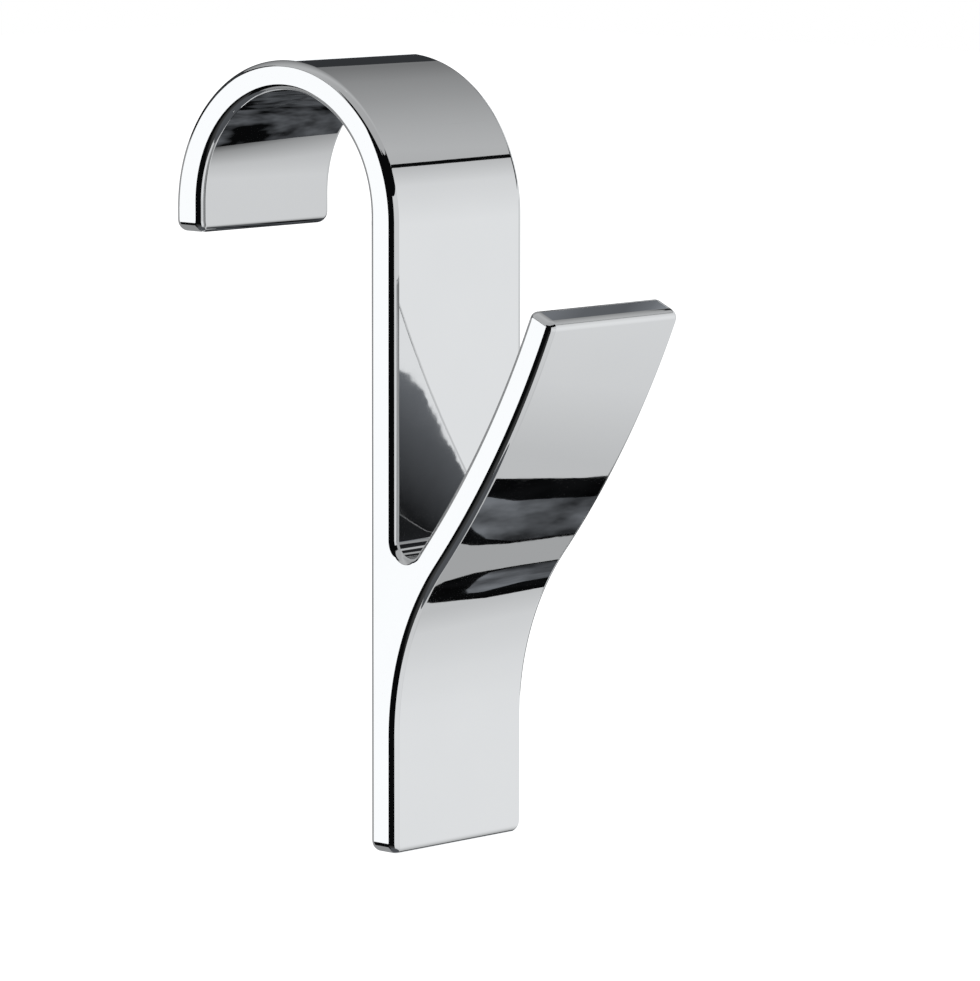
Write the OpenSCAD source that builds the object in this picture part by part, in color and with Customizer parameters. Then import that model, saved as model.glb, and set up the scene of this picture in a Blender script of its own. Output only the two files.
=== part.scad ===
// Radiator towel hook: a plated plastic moulding. Its arch hangs over a round
// radiator tube, a flat shank runs down in front of the tube, and an arm rises
// from the shank's lower end to hold the towel.
// The origin is the axis of the radiator tube. X runs along the tube, -Y points
// into the room, where the arm is, and +Z points up.

/* [Overall size] */
// Height from the underside of the shank to the top of the arch
height = 105; // [96:1:120]
// Depth from the back of the free leg to the front of the arm
depth = 70; // [66:1:78]
// Width along the radiator tube
width = 25; // [15:1:40]

/* [Arch] */
// Radius of the round seat that rests on the radiator tube
seat_radius = 16; // [13:0.5:18]
// Wall at the top of the arch
arch_top_wall = 4.05; // [3.6:0.05:5.5]
// Wall of the free leg behind the tube
leg_wall = 5; // [3.8:0.1:6]
// Reach of the free leg below the tube's axis
leg_drop = 4.05; // [3.2:0.05:12]

/* [Shank] */
// Wall of the flat shank in front of the tube
shank_wall = 4.7; // [4.6:0.1:5.6]

/* [Towel arm] */
// Wall of the towel arm
arm_wall = 4.5; // [4:0.1:4.6]
// Height above the underside at which the arm starts to leave the shank
arm_root_height = 15.8; // [10:0.2:24]
// Radius of the arm's hollow front bend
arm_bend_radius = 37.2; // [36.5:0.1:46]
// Lean of the arm away from the shank at its steepest place, in degrees
arm_lean = 39.1; // [38.3:0.1:44]
// Lean of the arm at its tip, in degrees
tip_lean = 23.5; // [16:0.1:27]
// Radius of the rounded crotch between the shank and the arm
crotch_radius = 2.2; // [1.4:0.1:2.5]

/* [Edges] */
// Radius of the rounding on every edge
edge_radius = 1.1; // [0.8:0.05:1.2]
// Radius of the end corners, as seen from the front or the back
corner_radius = 1.7; // [1.3:0.1:2]

/* [Plating] */
// Drawn thickness of the copper layer
copper_layer = 0.1; // [0.08:0.01:0.12]
// Drawn thickness of the nickel layer
nickel_layer = 0.1; // [0.08:0.01:0.12]
// Drawn thickness of the chromium layer
chrome_layer = 0.1; // [0.08:0.01:0.12]

/* [Hidden] */

// Steps of a full circle on the bends and on the edge roundings
bend_steps = 240;
edge_steps = 32;

// Outline in a plane of its own: "out" is the distance from the tube's axis
// towards the room, and "up" is the height above that axis
shank_back = seat_radius;
shank_front = seat_radius + shank_wall;
shank_middle = (shank_back + shank_front) / 2;
leg_back = -seat_radius - leg_wall;

// Outer circle of the arch, tangent to the shank's front and the leg's back
arch_radius = (shank_front - leg_back) / 2;
arch_centre_out = (shank_front + leg_back) / 2;
arch_centre_up = seat_radius + arch_top_wall - arch_radius;
beyond_arch = 2 * arch_radius;

underside = seat_radius + arch_top_wall - height;
leg_end = -leg_drop;
root_up = underside + arm_root_height;

// Hollow lower bend of the arm, in front of the shank
bend_centre = [shank_front + arm_bend_radius, root_up];

// Centre of the crotch's rounding, which touches the shank's front and the arm's back
crotch_reach = arm_bend_radius + arm_wall + crotch_radius;
crotch_lean = acos((arm_bend_radius - crotch_radius) / crotch_reach);
crotch_centre = [shank_front + crotch_radius, root_up + crotch_reach * sin(crotch_lean)];

// Upper bend of the arm, worked out from the overall depth
arm_out = depth + leg_back - shank_front;
tip_out = edge_radius * (1 - cos(tip_lean)) + (corner_radius - edge_radius) * sin(tip_lean);
lower_bend_out = arm_bend_radius * (1 - cos(arm_lean));
upper_radius = (arm_out - tip_out - lower_bend_out) / (cos(tip_lean) - cos(arm_lean));
upper_centre = bend_centre
    - (arm_bend_radius + upper_radius) * [cos(arm_lean), -sin(arm_lean)];

// Where two strips run together, one is a hair smaller all round and reaches a
// short way into the other, so that no face lies on another
hair = 0.02;
reach_in = 0.1;
bend_overrun = reach_in / arm_bend_radius * 180 / PI;
crotch_overrun = reach_in / crotch_radius * 180 / PI;

// Saddle round the crotch, and the limits of the web that ties it to the arm
saddle_wall = (arm_wall + edge_radius) / 2;
web_gap_front = (edge_radius + arm_wall / 2) / 2;
web_gap_crotch = (edge_radius + saddle_wall) / 2;

// A quarter of a disc in the first quadrant
module quarter_disc(radius) {
    intersection() {
        circle(r = radius, $fn = edge_steps);
        square(radius);
    }
}

// Section from one distance to another, with the edges at either end rounded
module section(from, to, half_width, radius, round_from, round_to) {
    low = from + (round_from ? radius : 0);
    high = to - (round_to ? radius : 0);
    flat = half_width - radius;
    translate([low, -half_width]) square([high - low, 2 * half_width]);
    if (round_from) {
        translate([from, -flat]) square([radius, 2 * flat]);
        for (side = [0, 1]) mirror([0, side]) translate([low, flat]) mirror([1, 0]) quarter_disc(radius);
    }
    if (round_to) {
        translate([high, -flat]) square([radius, 2 * flat]);
        for (side = [0, 1]) mirror([0, side]) translate([high, flat]) quarter_disc(radius);
    }
}

// A section carried straight up or straight down from a height
module upward(from, to) {
    translate([0, from, 0]) rotate([-90, 0, 0]) linear_extrude(height = to - from) children();
}

// A section carried round a centre, from one angle to another
module round_centre(centre, from, to) {
    translate(centre) rotate([0, 0, from])
        rotate_extrude(angle = to - from, $fn = bend_steps) children();
}

// Rounded end of a strip, from height zero up. It starts a short way below that,
// inside the strip, and is a hair smaller than the strip all round.
module strip_end(from, to, half_width, radius, corner) {
    low = from + hair;
    high = to - hair;
    half = half_width - hair;
    flat = half - corner;
    half_wall = (high - low) / 2;
    translate([0, 0, -reach_in]) linear_extrude(height = reach_in)
        section(low, high, half, radius, true, true);
    translate([low + half_wall, 0, 0]) {
        rotate([0, -90, -90]) linear_extrude(height = 2 * flat, center = true)
            section(0, corner, half_wall, radius, false, true);
        for (end = [0, 1]) mirror([0, end, 0]) translate([0, flat, 0]) rotate([90, 0, 90])
            rotate_extrude(angle = 90, $fn = edge_steps)
                section(0, corner, half_wall, radius, false, true);
    }
}

// The hook's shape, drawn in by a skin's depth on every side.
// Here X is "out", Y is "up" and Z runs along the tube.
module outline_body(skin) {
    half = width / 2 - skin;
    edge = edge_radius - skin;
    corner = corner_radius - skin;
    seat = seat_radius + skin;
    bottom = underside + corner_radius;
    leg_bottom = leg_end + corner_radius;

    // Arch, free leg and shank: what lies inside the outer surface and outside
    // the seat
    intersection() {
        union() {
            round_centre([arch_centre_out, arch_centre_up], 0, 180)
                section(0, arch_radius - skin, half, edge, false, true);
            translate([arch_centre_out, 0, 0]) {
                upward(bottom, arch_centre_up)
                    section(0, arch_radius - skin, half, edge, false, true);
                upward(leg_bottom, arch_centre_up) mirror([1, 0])
                    section(0, arch_radius - skin, half, edge, false, true);
            }
        }
        union() {
            round_centre([0, 0], 0, 180) section(seat, beyond_arch, half, edge, true, false);
            upward(bottom, 0) section(seat, beyond_arch, half, edge, true, false);
            upward(leg_bottom, 0) mirror([1, 0])
                section(seat, beyond_arch, half, edge, true, false);
        }
    }
    translate([0, leg_bottom, 0]) rotate([90, 0, 0])
        strip_end(leg_back + skin, -seat, half, edge, corner);
    translate([0, bottom, 0]) rotate([90, 0, 0])
        strip_end(seat, shank_front - skin, half, edge, corner);

    // Arm: its hollow bend, which starts inside the shank, its long upper bend
    // and its rounded tip
    round_centre(bend_centre, 180 - arm_lean - bend_overrun, 180 + bend_overrun)
        section(arm_bend_radius + skin + hair, arm_bend_radius + arm_wall - skin - hair,
            half - hair, edge, true, true);
    round_centre(upper_centre, -arm_lean, -tip_lean)
        section(upper_radius - arm_wall + skin, upper_radius - skin, half, edge, true, true);
    translate(upper_centre) rotate([0, 0, -tip_lean]) rotate([-90, 0, 0])
        strip_end(upper_radius - arm_wall + skin, upper_radius - skin, half, edge, corner);

    // Saddle round the crotch, and the web that fills the corner below it
    round_centre(crotch_centre, 180 - crotch_overrun, 360 - crotch_lean + crotch_overrun)
        section(crotch_radius + skin + 2 * hair, crotch_radius + saddle_wall,
            half - 2 * hair, edge, true, false);
    linear_extrude(height = 2 * half - 6 * hair, center = true) difference() {
        polygon([[shank_middle, root_up], bend_centre, crotch_centre,
            [shank_middle, crotch_centre[1]]]);
        translate(bend_centre) circle(r = arm_bend_radius + web_gap_front, $fn = bend_steps);
        translate(crotch_centre) circle(r = crotch_radius + web_gap_crotch, $fn = bend_steps);
    }
}

// The hook in its own frame, drawn in by a skin's depth
module hook_body(skin) {
    rotate([90, 0, -90]) outline_body(skin);
}

// A layer of plating between two depths under the finished surface
module plating(from, to) {
    difference() {
        hook_body(from);
        hook_body(to);
    }
}

// Plastic moulding under the plating
module moulded_core() {
    color("gainsboro") hook_body(chrome_layer + nickel_layer + copper_layer);
}

// Copper that levels the plastic and takes up its stretch
module copper_plate() {
    color("peru") plating(chrome_layer + nickel_layer, chrome_layer + nickel_layer + copper_layer);
}

// Bright nickel under the chromium
module nickel_plate() {
    color("lightgoldenrodyellow") plating(chrome_layer, chrome_layer + nickel_layer);
}

// Mirror-bright chromium, the surface that shows
module chrome_plate() {
    color("silver") plating(0, chrome_layer);
}

moulded_core();
copper_plate();
nickel_plate();
chrome_plate();
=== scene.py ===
"""Looks for the radiator towel hook: a mirror-bright plated moulding.

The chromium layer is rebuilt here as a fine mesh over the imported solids. The
inner layers keep their CAD meshes. Lengths are metres, and the frame is the
part's: the origin is the tube's axis, X runs along the tube, -Y points into the
room and +Z up. The profile is written in "out" (towards the room) and "up".
"""

import math

import bpy
from mathutils import Matrix, Vector


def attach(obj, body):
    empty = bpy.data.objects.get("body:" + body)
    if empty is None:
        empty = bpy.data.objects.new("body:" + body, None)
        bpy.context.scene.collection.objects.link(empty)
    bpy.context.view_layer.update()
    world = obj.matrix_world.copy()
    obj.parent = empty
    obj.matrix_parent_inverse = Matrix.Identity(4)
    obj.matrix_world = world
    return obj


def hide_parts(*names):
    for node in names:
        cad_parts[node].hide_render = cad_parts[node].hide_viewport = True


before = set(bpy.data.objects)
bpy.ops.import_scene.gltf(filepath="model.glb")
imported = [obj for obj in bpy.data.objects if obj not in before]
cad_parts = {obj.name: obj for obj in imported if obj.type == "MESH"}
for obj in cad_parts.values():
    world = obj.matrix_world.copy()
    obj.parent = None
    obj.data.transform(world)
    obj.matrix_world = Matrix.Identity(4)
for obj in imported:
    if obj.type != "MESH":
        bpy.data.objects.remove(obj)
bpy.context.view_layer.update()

MM = 0.001

# Sizes of the hook, as in the part's source
HEIGHT = 105 * MM
DEPTH = 70 * MM
WIDTH = 25 * MM
SEAT_RADIUS = 16 * MM
ARCH_TOP_WALL = 4.05 * MM
LEG_WALL = 5 * MM
LEG_DROP = 4.05 * MM
SHANK_WALL = 4.7 * MM
ARM_WALL = 4.5 * MM
ARM_ROOT_HEIGHT = 15.8 * MM
ARM_BEND_RADIUS = 37.2 * MM
ARM_LEAN = math.radians(39.1)
TIP_LEAN = math.radians(23.5)
CROTCH_RADIUS = 2.2 * MM
EDGE_RADIUS = 1.1 * MM
END_CORNER = 1.7 * MM
CHROME_LAYER = 0.1 * MM

# The visual skin stands a hair inside the CAD box
SKIN_HAIR = 0.012 * MM
# A corner is a little rounder than the edges, so that the side face keeps a
# short outline there
CORNER_RADIUS = EDGE_RADIUS + 0.06 * MM

# Mesh steps
ARC_STEP = math.radians(1.5)
BEND_STEP = ARC_STEP / 2
LONG_BEND_STEP = ARC_STEP / 3
CORNER_STEPS = 14
EDGE_STEPS = 12
STRAIGHT_STEP = 3 * MM
RUN_STEPS = 3
SAME_POINT = 1e-7
# The narrowing's slope is measured over one of this many parts of its radius
SLOPE_PARTS = 2000

QUARTER_TURN = math.pi / 2
HALF_TURN = math.pi

# Camera at the photograph's angle
CAMERA_AZIMUTH = math.radians(-46.4346)
CAMERA_ELEVATION = math.radians(7.3922)
CAMERA_ROLL = math.radians(-0.0891)
CAMERA_DISTANCE = 824.16 * MM
CAMERA_SLIDE = (8.24 * MM, 2.501 * MM)
CAMERA_TARGET = Vector((0, -15 * MM, -35 * MM))
# Focal length and sensor width, in millimetres
CAMERA_LENS = 225.70
SENSOR = 36.0


def direction(azimuth, elevation):
    """Unit vector. Azimuth runs from -Y to +X, and elevation is above level, in radians."""
    flat = math.cos(elevation)
    return Vector((math.sin(azimuth) * flat, -math.cos(azimuth) * flat, math.sin(elevation)))


def turned(angle):
    """Unit vector in the profile's plane, as (out, up)."""
    return (math.cos(angle), math.sin(angle))


def moved(point, *moves):
    """A point (out, up) after moves of (distance, unit vector)."""
    out, up = point
    for distance, (along_out, along_up) in moves:
        out, up = out + distance * along_out, up + distance * along_up
    return (out, up)


class Profile:
    """Closed outline of the hook: points with their outward normals, in (out, up)."""

    def __init__(self):
        self.points = []
        self.normals = []
        self.ends = []

    def add(self, point, normal):
        """Next point, left out where it repeats the last one."""
        if self.points and math.dist(self.points[-1], point) < SAME_POINT:
            return
        self.points.append(point)
        self.normals.append(normal)

    def arc(self, centre, radius, start, end, side=1, step=ARC_STEP):
        """Arc round a centre.

        side is 1 where the outside is away from the centre, -1 where it is
        towards it.
        """
        count = max(2, math.ceil(abs(end - start) / step))
        for i in range(count + 1):
            cosine, sine = turned(start + (end - start) * i / count)
            self.add(
                (centre[0] + radius * cosine, centre[1] + radius * sine),
                (side * cosine, side * sine),
            )

    def corner(self, centre, start):
        """A quarter turn to the left round a corner's centre."""
        step = QUARTER_TURN / CORNER_STEPS
        self.arc(centre, CORNER_RADIUS, start, start + QUARTER_TURN, step=step)

    def line(self, end, normal, count=None):
        """Straight run from the last point."""
        start = self.points[-1]
        count = count or max(1, math.ceil(math.dist(start, end) / STRAIGHT_STEP))
        for i in range(1, count + 1):
            share = i / count
            self.add(tuple(a + (b - a) * share for a, b in zip(start, end)), normal)

    def rounded_end(self, start, end, normal, near=True):
        """Rounded end of a strip, from the last point to one on its other side.

        start is that last point, and normal the outward normal there. near
        tells whether the corner on the -X side has the full radius too.
        """
        outward = (-normal[1], normal[0])
        angle = math.atan2(normal[1], normal[0])
        first = len(self.points) - 1
        run_on = END_CORNER - CORNER_RADIUS
        self.line(moved(start, (run_on, outward)), normal, RUN_STEPS)
        self.corner(moved(start, (run_on, outward), (-CORNER_RADIUS, normal)), angle)
        self.line(moved(end, (END_CORNER, outward), (CORNER_RADIUS, normal)), outward)
        self.corner(
            moved(end, (run_on, outward), (CORNER_RADIUS, normal)), angle + QUARTER_TURN
        )
        self.line(end, (-normal[0], -normal[1]), RUN_STEPS)
        face = moved(start, (END_CORNER, outward))
        self.ends.append((first, len(self.points) - 1, face, outward, near))


def hook_profile():
    """The hook's outline, anticlockwise in (out, up)."""
    shank_front = SEAT_RADIUS + SHANK_WALL
    leg_back = -SEAT_RADIUS - LEG_WALL
    leg_side = -LEG_DROP + END_CORNER
    arch_radius = (shank_front - leg_back) / 2
    arch_centre = ((shank_front + leg_back) / 2, SEAT_RADIUS + ARCH_TOP_WALL - arch_radius)
    underside = SEAT_RADIUS + ARCH_TOP_WALL - HEIGHT
    shank_side = underside + END_CORNER
    root = underside + ARM_ROOT_HEIGHT
    bend_centre = (shank_front + ARM_BEND_RADIUS, root)
    reach = ARM_BEND_RADIUS + ARM_WALL + CROTCH_RADIUS
    crotch_lean = math.acos((ARM_BEND_RADIUS - CROTCH_RADIUS) / reach)
    crotch_centre = (shank_front + CROTCH_RADIUS, root + reach * math.sin(crotch_lean))

    # Upper bend of the arm, worked out from the depth that is left for it
    arm_out = DEPTH + leg_back - shank_front
    tip_out = (
        CORNER_RADIUS * (1 - math.cos(TIP_LEAN))
        + (END_CORNER - CORNER_RADIUS) * math.sin(TIP_LEAN) + SKIN_HAIR
    )
    bend_out = ARM_BEND_RADIUS * (1 - math.cos(ARM_LEAN))
    upper_front = (arm_out - tip_out - bend_out) / (math.cos(TIP_LEAN) - math.cos(ARM_LEAN))
    upper_back = upper_front - ARM_WALL
    between = ARM_BEND_RADIUS + upper_front
    upper_centre = moved(
        bend_centre, (-between * math.cos(ARM_LEAN), (1, 0)), (between * math.sin(ARM_LEAN), (0, 1))
    )
    across_tip = turned(-TIP_LEAN)

    p = Profile()
    # Lower end of the shank, and its front up to the arm's root
    shank_start = (SEAT_RADIUS, shank_side)
    p.add(shank_start, (-1, 0))
    p.rounded_end(shank_start, (shank_front, shank_side), (-1, 0))
    p.line((shank_front, root), (1, 0))
    # Front of the arm: hollow lower bend, then the long upper bend
    p.arc(bend_centre, ARM_BEND_RADIUS, HALF_TURN, HALF_TURN - ARM_LEAN, -1, BEND_STEP)
    p.arc(upper_centre, upper_front, -ARM_LEAN, -TIP_LEAN, step=LONG_BEND_STEP)
    # Tip: its near corner is tighter than the others
    p.rounded_end(
        moved(upper_centre, (upper_front, across_tip)),
        moved(upper_centre, (upper_back, across_tip)),
        across_tip, near=False,
    )
    # Back of the arm, down to the crotch
    p.arc(upper_centre, upper_back, -TIP_LEAN, -ARM_LEAN, -1, LONG_BEND_STEP)
    p.arc(
        bend_centre, ARM_BEND_RADIUS + ARM_WALL,
        HALF_TURN - ARM_LEAN, HALF_TURN - crotch_lean, step=BEND_STEP,
    )
    p.arc(
        crotch_centre, CROTCH_RADIUS,
        2 * HALF_TURN - crotch_lean, HALF_TURN, -1, QUARTER_TURN / CORNER_STEPS,
    )
    # Front of the shank, round the arch and down the free leg
    p.line((shank_front, arch_centre[1]), (1, 0))
    p.arc(arch_centre, arch_radius, 0, HALF_TURN)
    p.line((leg_back, leg_side), (-1, 0))
    p.rounded_end((leg_back, leg_side), (-SEAT_RADIUS, leg_side), (-1, 0))
    p.line((-SEAT_RADIUS, 0), (1, 0))
    # Seat over the tube and the back of the shank, whose last point is the first
    p.arc((0, 0), SEAT_RADIUS, HALF_TURN, 0, -1)
    p.line(shank_start, (-1, 0))
    p.points.pop()
    p.normals.pop()
    return p


def narrowing(t, depth):
    """Share of the full width, and its slope, at a distance from an end's face."""
    half, corner, edge = (size - depth for size in (WIDTH / 2, END_CORNER, EDGE_RADIUS))

    def half_width(t, radius):
        if t >= radius:
            return half
        return half - radius + math.sqrt(max(radius ** 2 - (radius - t) ** 2, 0))

    def share_at(t):
        return half_width(t, corner) / half_width(t, edge)

    if t >= corner:
        return 1, 0
    t = max(t, 0)
    nudge = corner / SLOPE_PARTS
    return share_at(t), (share_at(t + nudge) - share_at(t)) / nudge


def skin_surface(profile, depth):
    """Vertices and normals of the rounded extrusion, drawn in by depth.

    They come ring by ring, from the -X side to the +X side.
    """
    radius = EDGE_RADIUS - depth
    middle = WIDTH / 2 - EDGE_RADIUS
    turns = [QUARTER_TURN * i / EDGE_STEPS for i in range(EDGE_STEPS + 1)]
    rings = [(-1, t) for t in reversed(turns)] + [(1, t) for t in turns]
    end_of = {
        i: (face, outward, near)
        for first, last, face, outward, near in profile.ends for i in range(first, last + 1)
    }
    verts, normals = [], []
    for side, turn in rings:
        cosine, sine = math.cos(turn), side * math.sin(turn)
        x_here = side * middle + radius * sine
        inset = EDGE_RADIUS - radius * cosine
        for i, (point, normal) in enumerate(zip(profile.points, profile.normals)):
            out, up = moved(point, (-inset, normal))
            x, n_x, n_out, n_up = x_here, sine, normal[0] * cosine, normal[1] * cosine
            if i in end_of and (side > 0 or end_of[i][2]):
                (at_out, at_up), (away_out, away_up), _ = end_of[i]
                t = (at_out - out) * away_out + (at_up - up) * away_up - depth
                share, slope = narrowing(t, depth)
                lean = x * slope * n_x / share
                x, n_x = x * share, n_x / share
                n_out, n_up = n_out + lean * away_out, n_up + lean * away_up
            verts.append((x, -out, up))
            normals.append(Vector((n_x, -n_out, n_up)).normalized())
    return verts, normals, len(rings)


def side_faces(profile):
    """The side face as polygons of profile indices, with strips across the rounded ends."""
    ends = [(first, last) for first, last, *_ in profile.ends]
    faces = [[i for i in range(len(profile.points)) if not any(a < i < b for a, b in ends)]]
    for first, last in ends:
        faces += [
            [first + k, first + k + 1, last - k - 1, last - k] for k in range(RUN_STEPS)
        ]
        faces.append(list(range(first + RUN_STEPS, last - RUN_STEPS + 1)))
    return faces


def plating_mesh(name, profile):
    """Closed mesh of the plated layer: its outer face and the one on the layer below."""
    count = len(profile.points)
    verts, normals, faces = [], [], []
    for depth, outward in ((SKIN_HAIR, True), (CHROME_LAYER, False)):
        base = len(verts)
        more, more_normals, rings = skin_surface(profile, depth)
        verts += more
        normals += more_normals if outward else [-n for n in more_normals]
        skin = []
        for ring in range(rings - 1):
            for i in range(count):
                a = base + ring * count + i
                b = base + ring * count + (i + 1) % count
                skin.append((a, b, b + count, a + count))
        for face in side_faces(profile):
            skin.append(tuple(base + i for i in reversed(face)))
            skin.append(tuple(base + (rings - 1) * count + i for i in face))
        faces += [tuple(reversed(f)) for f in skin] if outward else skin
    mesh = bpy.data.meshes.new(name)
    mesh.from_pydata(verts, [], faces)
    mesh.validate()
    mesh.shade_smooth()
    mesh.normals_split_custom_set_from_vertices(normals)
    return mesh


def link(name, data):
    """New object of that name in the scene."""
    made = bpy.data.objects.new(name, data)
    bpy.context.scene.collection.objects.link(made)
    return made


# Colour sockets of the Mix node, which have the same names as its other sockets
MIX_FIRST, MIX_SECOND, MIX_RESULT = 6, 7, 2
# Most of a noise texture lies between these values
NOISE_LOW, NOISE_HIGH = 0.3, 0.7


class Nodes:
    """Adds nodes to a tree and links their sockets."""

    def __init__(self, owner):
        owner.use_nodes = True
        self.tree = owner.node_tree
        self.tree.nodes.clear()

    def add(self, kind, settings=None, **inputs):
        """New node. An input is its socket's name, with _ for a space, or _ and its number."""
        made = self.tree.nodes.new(kind)
        for key, value in (settings or {}).items():
            setattr(made, key, value)
        for key, value in inputs.items():
            number = key[1:]
            socket = made.inputs[int(number) if number.isdigit() else key.replace("_", " ")]
            if isinstance(value, bpy.types.NodeSocket):
                self.tree.links.new(value, socket)
            else:
                socket.default_value = value
        return made

    def place(self):
        """The object's own coordinates."""
        return self.add("ShaderNodeTexCoord").outputs["Object"]

    def combined(self, operation, first, second):
        """Two numbers put together by a Math node."""
        return self.add(
            "ShaderNodeMath", {"operation": operation}, _0=first, _1=second
        ).outputs[0]

    def vector(self, operation, *values, output="Vector"):
        """Vectors put together by a Vector Math node."""
        inputs = {f"_{i}": value for i, value in enumerate(values)}
        made = self.add("ShaderNodeVectorMath", {"operation": operation}, **inputs)
        return made.outputs[output]

    def along(self, place, axis):
        """The place's distance along an axis."""
        return self.vector("DOT_PRODUCT", place, axis, output="Value")

    def noise(self, place, scale, detail=2.0):
        """Noise texture, with its scale in repeats per metre."""
        return self.add(
            "ShaderNodeTexNoise", Vector=place, Scale=scale, Detail=detail
        ).outputs["Fac"]

    def remap(self, value, low, high, from_low=NOISE_LOW, from_high=NOISE_HIGH):
        """The value carried from one range to another, and held within it."""
        return self.add(
            "ShaderNodeMapRange", Value=value, From_Min=from_low, From_Max=from_high,
            To_Min=low, To_Max=high,
        ).outputs["Result"]

    def blend(self, factor, first, second):
        """A mix of two RGB colours."""
        mix = self.add("ShaderNodeMix", {"data_type": "RGBA"}, Factor=factor)
        mix.inputs[MIX_FIRST].default_value = (*first, 1)
        mix.inputs[MIX_SECOND].default_value = (*second, 1)
        return mix.outputs[MIX_RESULT]

    def bump(self, height, distance, normal=None):
        """Bump of that many metres, on top of an earlier one if it is given."""
        made = self.add("ShaderNodeBump", Height=height, Distance=distance, Strength=1.0)
        if normal:
            self.tree.links.new(normal, made.inputs["Normal"])
        return made.outputs["Normal"]

    def seen_plainly(self):
        """1 for what the camera, mirrors and glass see, 0 for the light on other things."""
        path = self.add("ShaderNodeLightPath").outputs
        seen = self.combined("MAXIMUM", path["Is Camera Ray"], path["Is Glossy Ray"])
        return self.combined("MAXIMUM", seen, path["Is Transmission Ray"])


# Noise scales of the finishes, in repeats per metre
METAL_TONE_SCALE = 90
METAL_GLOSS_SCALE = 260
PLASTIC_TONE_SCALE = 140
PLASTIC_GLOSS_SCALE = 900
ETCH_SCALE = 5000
ETCH_DEPTH = 0.01 * MM
PLASTIC_ROUGHNESS = (0.42, 0.6)


def plated_metal(name, tones, roughness, waves):
    """Bright plate: two close tones, an uneven gloss and the faint swell of a moulding."""
    made = bpy.data.materials.new(name)
    n = Nodes(made)
    place = n.place()
    tone = n.blend(n.remap(n.noise(place, METAL_TONE_SCALE), 0, 1), *tones)
    gloss = n.remap(n.noise(place, METAL_GLOSS_SCALE, detail=4), *roughness)
    normal = None
    for scale, distance in waves:
        normal = n.bump(n.noise(place, scale, detail=1), distance, normal)
    shader = n.add(
        "ShaderNodeBsdfPrincipled", Metallic=1.0, Base_Color=tone, Roughness=gloss, Normal=normal
    )
    n.add("ShaderNodeOutputMaterial", Surface=shader.outputs[0])
    return made


def moulded_plastic(name, tones):
    """Etched satin moulding, hidden under the plate."""
    made = bpy.data.materials.new(name)
    n = Nodes(made)
    place = n.place()
    tone = n.blend(n.remap(n.noise(place, PLASTIC_TONE_SCALE, detail=3), 0, 1), *tones)
    gloss = n.remap(n.noise(place, PLASTIC_GLOSS_SCALE, detail=3), *PLASTIC_ROUGHNESS)
    normal = n.bump(n.noise(place, ETCH_SCALE), ETCH_DEPTH)
    shader = n.add("ShaderNodeBsdfPrincipled", Base_Color=tone, Roughness=gloss, Normal=normal)
    n.add("ShaderNodeOutputMaterial", Surface=shader.outputs[0])
    return made


# Chromium plate
chrome = plated_metal(
    "chromium_mirror", ((0.855, 0.857, 0.86), (0.865, 0.866, 0.868)), (0.012, 0.03),
    ((60, 0.014 * MM), (450, 0.0012 * MM)),
)
plating = link("chromium_plating", plating_mesh("chromium_plating", hook_profile()))
plating.data.materials.append(chrome)
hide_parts("chrome_plate")
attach(plating, "root")

# Layers below, which keep their CAD meshes
UNDER = {
    "nickel_plate": plated_metal(
        "bright_nickel", ((0.66, 0.60, 0.50), (0.72, 0.66, 0.56)), (0.08, 0.16),
        ((120, 0.01 * MM),),
    ),
    "copper_plate": plated_metal(
        "levelled_copper", ((0.87, 0.44, 0.30), (0.92, 0.52, 0.38)), (0.12, 0.24),
        ((160, 0.01 * MM),),
    ),
    "moulded_core": moulded_plastic("plating_plastic", ((0.80, 0.78, 0.71), (0.86, 0.84, 0.77))),
}
for node, material in UNDER.items():
    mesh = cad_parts[node].data
    mesh.materials.clear()
    mesh.materials.append(material)

# Studio: cards of one grey or a gradient, on a shell round the hook, and flags
# close to it. Angles are degrees, and greys are those that show in the plate.
STUDIO_CENTRE = CAMERA_TARGET
SHELL = 2.0
# Each layer of cards stands this much in front of the one before
LAYER = 0.02
CARD_STEP = 3.0
# Share of a card's light that the plate throws back
PLATE_TONE = 0.86
# Daylight is a little cool, and the dark room more so
LIGHT_TINT = (0.982, 1.0, 1.014)
DARK_TINT = (0.92, 0.98, 1.07)
# A plain card below this grey has the dark tint
DARK_GREY = 120
# Width of the noise values over which a mottled flag turns from dark to light
MOTTLE_BAND = 0.3


def level(grey):
    """Light of a card that shows at that sRGB grey, of 255, in the plate."""
    share = grey / 255
    linear = share / 12.92 if share <= 0.04045 else ((share + 0.055) / 1.055) ** 2.4
    return linear / PLATE_TONE


def ramp(n, value, stops):
    """Light that runs through (value, grey) stops."""
    light = None
    for (low, low_grey), (high, high_grey) in zip(stops, stops[1:]):
        rise = level(high_grey) - level(low_grey)
        base = level(low_grey) if light is None else 0
        step = n.remap(value, base, base + rise, low, high)
        light = step if light is None else n.combined("ADD", light, step)
    return light


# Each of these gives a card's tint and the strength of its light

def plain(grey):
    """One grey all over."""
    return DARK_TINT if grey < DARK_GREY else LIGHT_TINT, lambda n, place: level(grey)


def fading(axis, *stops):
    """Light on the shell that runs through (cosine to the axis, grey) stops."""
    return LIGHT_TINT, lambda n, place: ramp(n, n.along(n.vector("NORMALIZE", place), axis), stops)


def rising(*stops):
    """Light on the shell that runs through (elevation, grey) stops."""
    return fading((0, 0, 1), *((math.sin(math.radians(angle)), grey) for angle, grey in stops))


def sloped(tint, axis, *stops):
    """Light on a flag that runs through (millimetres, grey) stops along an axis."""
    metres = [(mm * MM, grey) for mm, grey in stops]
    return tint, lambda n, place: ramp(n, n.along(place, axis), metres)


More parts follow.
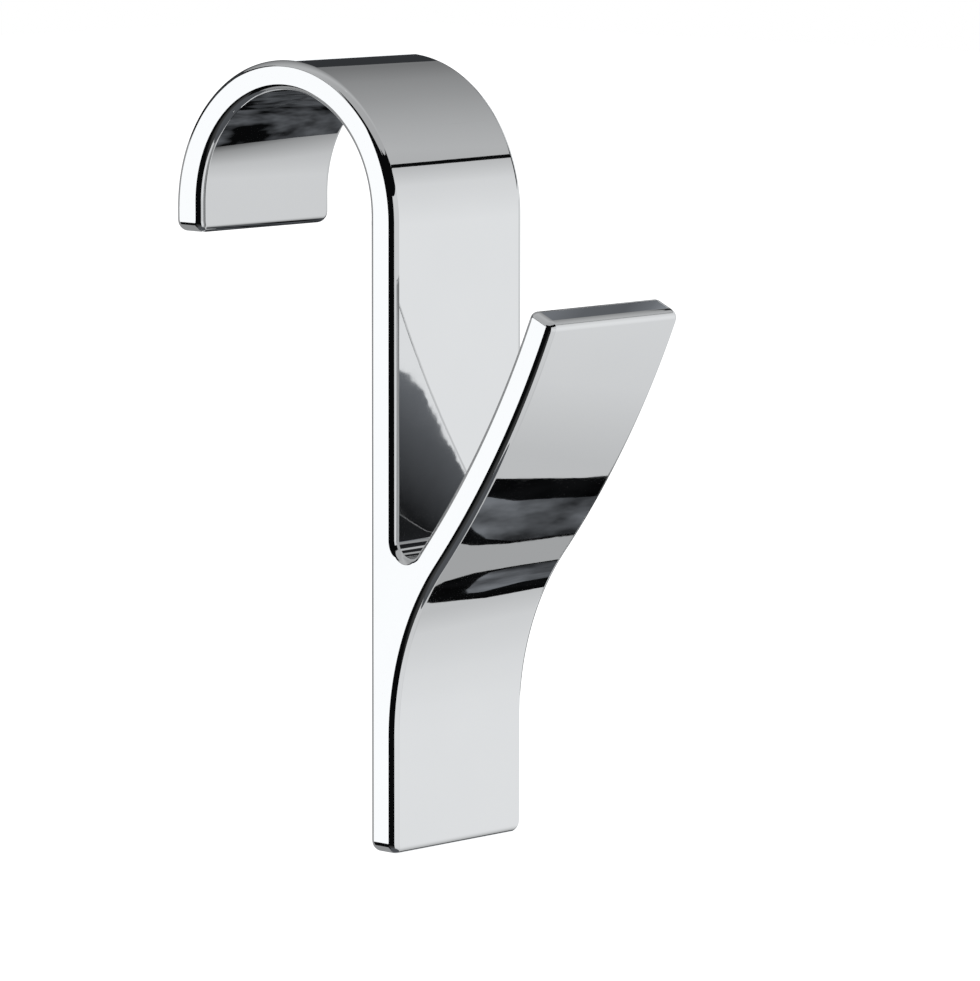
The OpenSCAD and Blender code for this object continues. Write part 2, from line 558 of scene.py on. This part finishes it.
def mottled(low, high, scale, stretch=1.0, dark=0.35):
    """Uneven light on a flag, between two greys.

    A stretch over 1 draws it out along Y. It has the low grey where the noise
    is under dark.
    """
    def strength(n, place):
        noise = n.noise(n.vector("MULTIPLY", place, (1, 1 / stretch, 1)), scale, detail=3)
        return n.remap(noise, level(low), level(high), dark, dark + MOTTLE_BAND)

    return DARK_TINT, strength


def set_stage(made, light):
    """Makes an object a studio card: it shows in reflections alone."""
    tint, strength = light
    material = bpy.data.materials.new(made.name)
    n = Nodes(material)
    shader = n.add("ShaderNodeEmission", Color=(*tint, 1), Strength=strength(n, n.place()))
    n.add("ShaderNodeOutputMaterial", Surface=shader.outputs[0])
    made.data.materials.append(material)
    made.visible_camera = False
    made.visible_diffuse = False
    made.visible_shadow = False
    made.visible_transmission = False


def card(name, corners, light, layer=0):
    """Card on the shell, given by its corners as (azimuth, elevation).

    The corners run low left, low right, high right, high left.
    """
    distance = SHELL - layer * LAYER
    a, b, c, d = (Vector(corner) for corner in corners)
    columns, rows = (
        max(1, math.ceil(max(extents) / CARD_STEP))
        for extents in (((b - a).length, (c - d).length), ((d - a).length, (c - b).length))
    )
    verts = []
    for j in range(rows + 1):
        for i in range(columns + 1):
            low, high = a.lerp(b, i / columns), d.lerp(c, i / columns)
            azimuth, elevation = (math.radians(angle) for angle in low.lerp(high, j / rows))
            verts.append(tuple(distance * direction(azimuth, elevation)))
    wide = columns + 1
    faces = [
        (j * wide + i, j * wide + i + 1, (j + 1) * wide + i + 1, (j + 1) * wide + i)
        for j in range(rows) for i in range(columns)
    ]
    mesh = bpy.data.meshes.new(name)
    mesh.from_pydata(verts, [], faces)
    made = link(name, mesh)
    made.location = STUDIO_CENTRE
    set_stage(made, light)


def block(left, right, low, high):
    """Corners of a card with level and upright edges."""
    return ((left, low), (right, low), (right, high), (left, high))


def flag(name, across, corners, light):
    """Flag in the plane at that X, with its corners as (out, up), all in millimetres."""
    mesh = bpy.data.meshes.new(name)
    verts = [(across * MM, -out * MM, up * MM) for out, up in corners]
    mesh.from_pydata(verts, [], [tuple(range(len(verts)))])
    set_stage(link(name, mesh), light)


# The ceiling's light falls off towards the wall on the right
CEILING_AXIS = tuple(direction(math.radians(140), 0))
CEILING = fading(
    CEILING_AXIS, (-0.2, 165), (0.1, 176), (0.25, 167), (0.5, 149), (0.68, 137), (0.85, 114)
)

# Dark room behind the cards, and the ceiling
card("room", block(-180, 180, -56, 42), plain(9))
card("pit", block(-180, 180, -89, -56), plain(78))
card("ceiling", block(-180, 180, 41, 89), CEILING, 1)
card("ceiling_front", ((38, 41), (46, 27), (46, 41), (38, 41.5)), CEILING, 1)
card("ceiling_right", block(46, 100, 27, 41), CEILING, 1)
card("ceiling_wall", block(100, 216, 26, 41), CEILING, 1)
card("ceiling_left", block(-144, -113, 21, 41), CEILING, 1)
card("ceiling_near", block(-113, -40, 36, 41), CEILING, 1)
# Softboxes in front and on the right
card(
    "front_softbox", ((-38, -56), (38, -56), (38, 18), (-33, 13)),
    rising((-56, 192), (-34, 211), (-11, 217), (-4, 200), (10, 200)), 2,
)
card("softbox_join", ((38, -56), (42, -56), (42, 24), (38, 18)), plain(190), 2)
card(
    "right_softbox", block(42, 84, -56, 25.3),
    rising(
        (-56, 186), (-41, 188), (-37, 205), (-27, 216), (-18, 221),
        (-5, 223), (9, 214), (16, 210), (25, 184),
    ), 2,
)
card("far_softbox", block(84, 113, -38, 25.3), plain(214), 2)
card("grey_strip", block(79, 92.5, -56, -42.6), plain(160), 3)
card("low_room", block(-130, -40, -56, -30), rising((-56, 62), (-40, 50), (-30, 10)), 1)
# Wall behind the hook
card("wall_foot", block(92.5, 113, -56, -38), plain(50), 2)
card("wall_light", block(113, 141, -56, 11), rising((-40, 225), (9, 252)), 2)
card("wall_grey", block(141, 208, -56, 5), plain(140), 2)
card("wall_dark", block(104, 200, 11, 26), plain(50), 2)
# Softbox on the near side
card("left_softbox", ((-152, -20), (-129, -20), (-105, 18), (-158, 18)), plain(252), 2)

# Dark stand on the right of the hook, which the arm mirrors twice
flag(
    "stand_edge", 200,
    (
        (91, -234), (91, -249), (86, -254), (68, -256), (54, -253),
        (45, -246), (42, -237), (38, -190), (70, -190), (77, -212),
    ),
    mottled(4, 14, 60),
)
flag(
    "stand", 198,
    (
        (71, -229), (80, -236), (80, -240), (74, -242), (57, -242),
        (48, -240), (43.5, -234), (39, -191), (58, -191), (64, -212),
    ),
    mottled(40, 114, 60),
)
# Card that the seat alone mirrors, with a mottled dark part
flag(
    "seat_card", 60, ((-90, -76), (42, -76), (50, -50), (62, -30), (62, 3), (-90, 3)),
    sloped(
        LIGHT_TINT, (0, -1, 1.5),
        (-80, 40), (-70, 70), (-66, 104), (-56, 146), (-38, 176), (-28, 190), (0, 205),
    ),
)
flag(
    "seat_shade", 59.5,
    ((-90, -75.5), (36, -75.5), (14, -53), (8, -45), (3, -36), (-30, -10), (-90, -10)),
    mottled(8, 98, 110, 2.2, 0.38),
)
# Cards that the arm's back throws on to the shank
flag("arm_card", 131, ((-50, 55), (-10, 55), (-10, 80.5), (-50, 80.5)), plain(234))
flag(
    "arm_shade", 130,
    (
        (-45, 69.5), (-41, 68.6), (-39, 67.4), (-36.6, 66.5), (-35, 66.2),
        (-31, 66.2), (-27.7, 65.2), (-20, 63.5), (-20, 81), (-45, 81),
    ),
    sloped(DARK_TINT, (0, -0.467, 0.884), (42, 106), (46, 85), (50, 67), (54, 44), (56, 26)),
)
flag("crotch_shade", 60, ((30, 10), (56, 10), (56, 34), (30, 34)), mottled(20, 45, 60))
# Card that the arm's end face mirrors
flag(
    "tip_shade", 100,
    (
        (-16, 84), (-14, 71), (-8, 62), (-3, 55), (-1, 49),
        (7, 49), (7, 58), (0, 69), (-6, 84),
    ),
    sloped(DARK_TINT, (0, -1, 0), (-12, 112), (-8, 94), (-3, 90), (0, 108), (3, 140)),
)

# Plain floor, well below the hanging hook
FLOOR_UP = -2.2
FLOOR_REACH = 30.0
FLOOR_TONE = 0.85
# Light that lifts the floor to white for the camera and for reflections
FLOOR_LIFT = 0.6
floor_mesh = bpy.data.meshes.new("floor")
floor_mesh.from_pydata(
    [(x * FLOOR_REACH, y * FLOOR_REACH, 0) for x, y in ((-1, -1), (1, -1), (1, 1), (-1, 1))],
    [], [(0, 1, 2, 3)],
)
floor = link("floor", floor_mesh)
floor.location = (0, 0, FLOOR_UP)
floor_paint = bpy.data.materials.new("floor")
n = Nodes(floor_paint)
glow = n.add("ShaderNodeEmission", Strength=n.combined("MULTIPLY", n.seen_plainly(), FLOOR_LIFT))
paint = n.add("ShaderNodeBsdfDiffuse", Color=(FLOOR_TONE, FLOOR_TONE, FLOOR_TONE, 1))
both = n.add("ShaderNodeAddShader", _0=paint.outputs[0], _1=glow.outputs[0])
n.add("ShaderNodeOutputMaterial", Surface=both.outputs[0])
floor_mesh.materials.append(floor_paint)

# World: white to the camera and to reflections, a plain level for everything else
WORLD_LIGHT = 0.7
world = bpy.data.worlds.new("studio")
bpy.context.scene.world = world
n = Nodes(world)
strength = n.remap(n.seen_plainly(), WORLD_LIGHT, 1.0, 0, 1)
sky = n.add("ShaderNodeBackground", Color=(1, 1, 1, 1), Strength=strength)
n.add("ShaderNodeOutputWorld", Surface=sky.outputs[0])

# One large soft lamp from above, on the hook's near side
LAMP_SIZE = 1.2
LAMP_WATTS = 12
LAMP_DISTANCE = 1.6
LAMP_AZIMUTH = math.radians(-80)
LAMP_ELEVATION = math.radians(55)
lamp = bpy.data.lights.new("soft_key", "AREA")
lamp.shape = "DISK"
lamp.size = LAMP_SIZE
lamp.energy = LAMP_WATTS
key = link("soft_key", lamp)
key.location = CAMERA_TARGET + direction(LAMP_AZIMUTH, LAMP_ELEVATION) * LAMP_DISTANCE
key.rotation_mode = "QUATERNION"
key.rotation_quaternion = (CAMERA_TARGET - key.location).to_track_quat("-Z", "Y")
key.visible_glossy = False

# Camera
FAR_CLIP = 100
back = direction(CAMERA_AZIMUTH, CAMERA_ELEVATION)
right = (-back).cross(Vector((0, 0, 1))).normalized()
down = (-back).cross(right)
cosine, sine = turned(CAMERA_ROLL)
rolled_right = right * cosine + down * sine
rolled_down = down * cosine - right * sine
eye = (
    CAMERA_TARGET + back * CAMERA_DISTANCE
    + rolled_right * CAMERA_SLIDE[0] + rolled_down * CAMERA_SLIDE[1]
)
lens = bpy.data.cameras.new("camera")
lens.lens = CAMERA_LENS
lens.sensor_fit = "HORIZONTAL"
lens.sensor_width = SENSOR
lens.clip_end = FAR_CLIP
camera = link("camera", lens)
camera.matrix_world = Matrix.Translation(eye) @ Matrix(
    (rolled_right, -rolled_down, back)
).transposed().to_4x4()
bpy.context.scene.camera = camera

bpy.context.scene.view_settings.view_transform = "Standard"
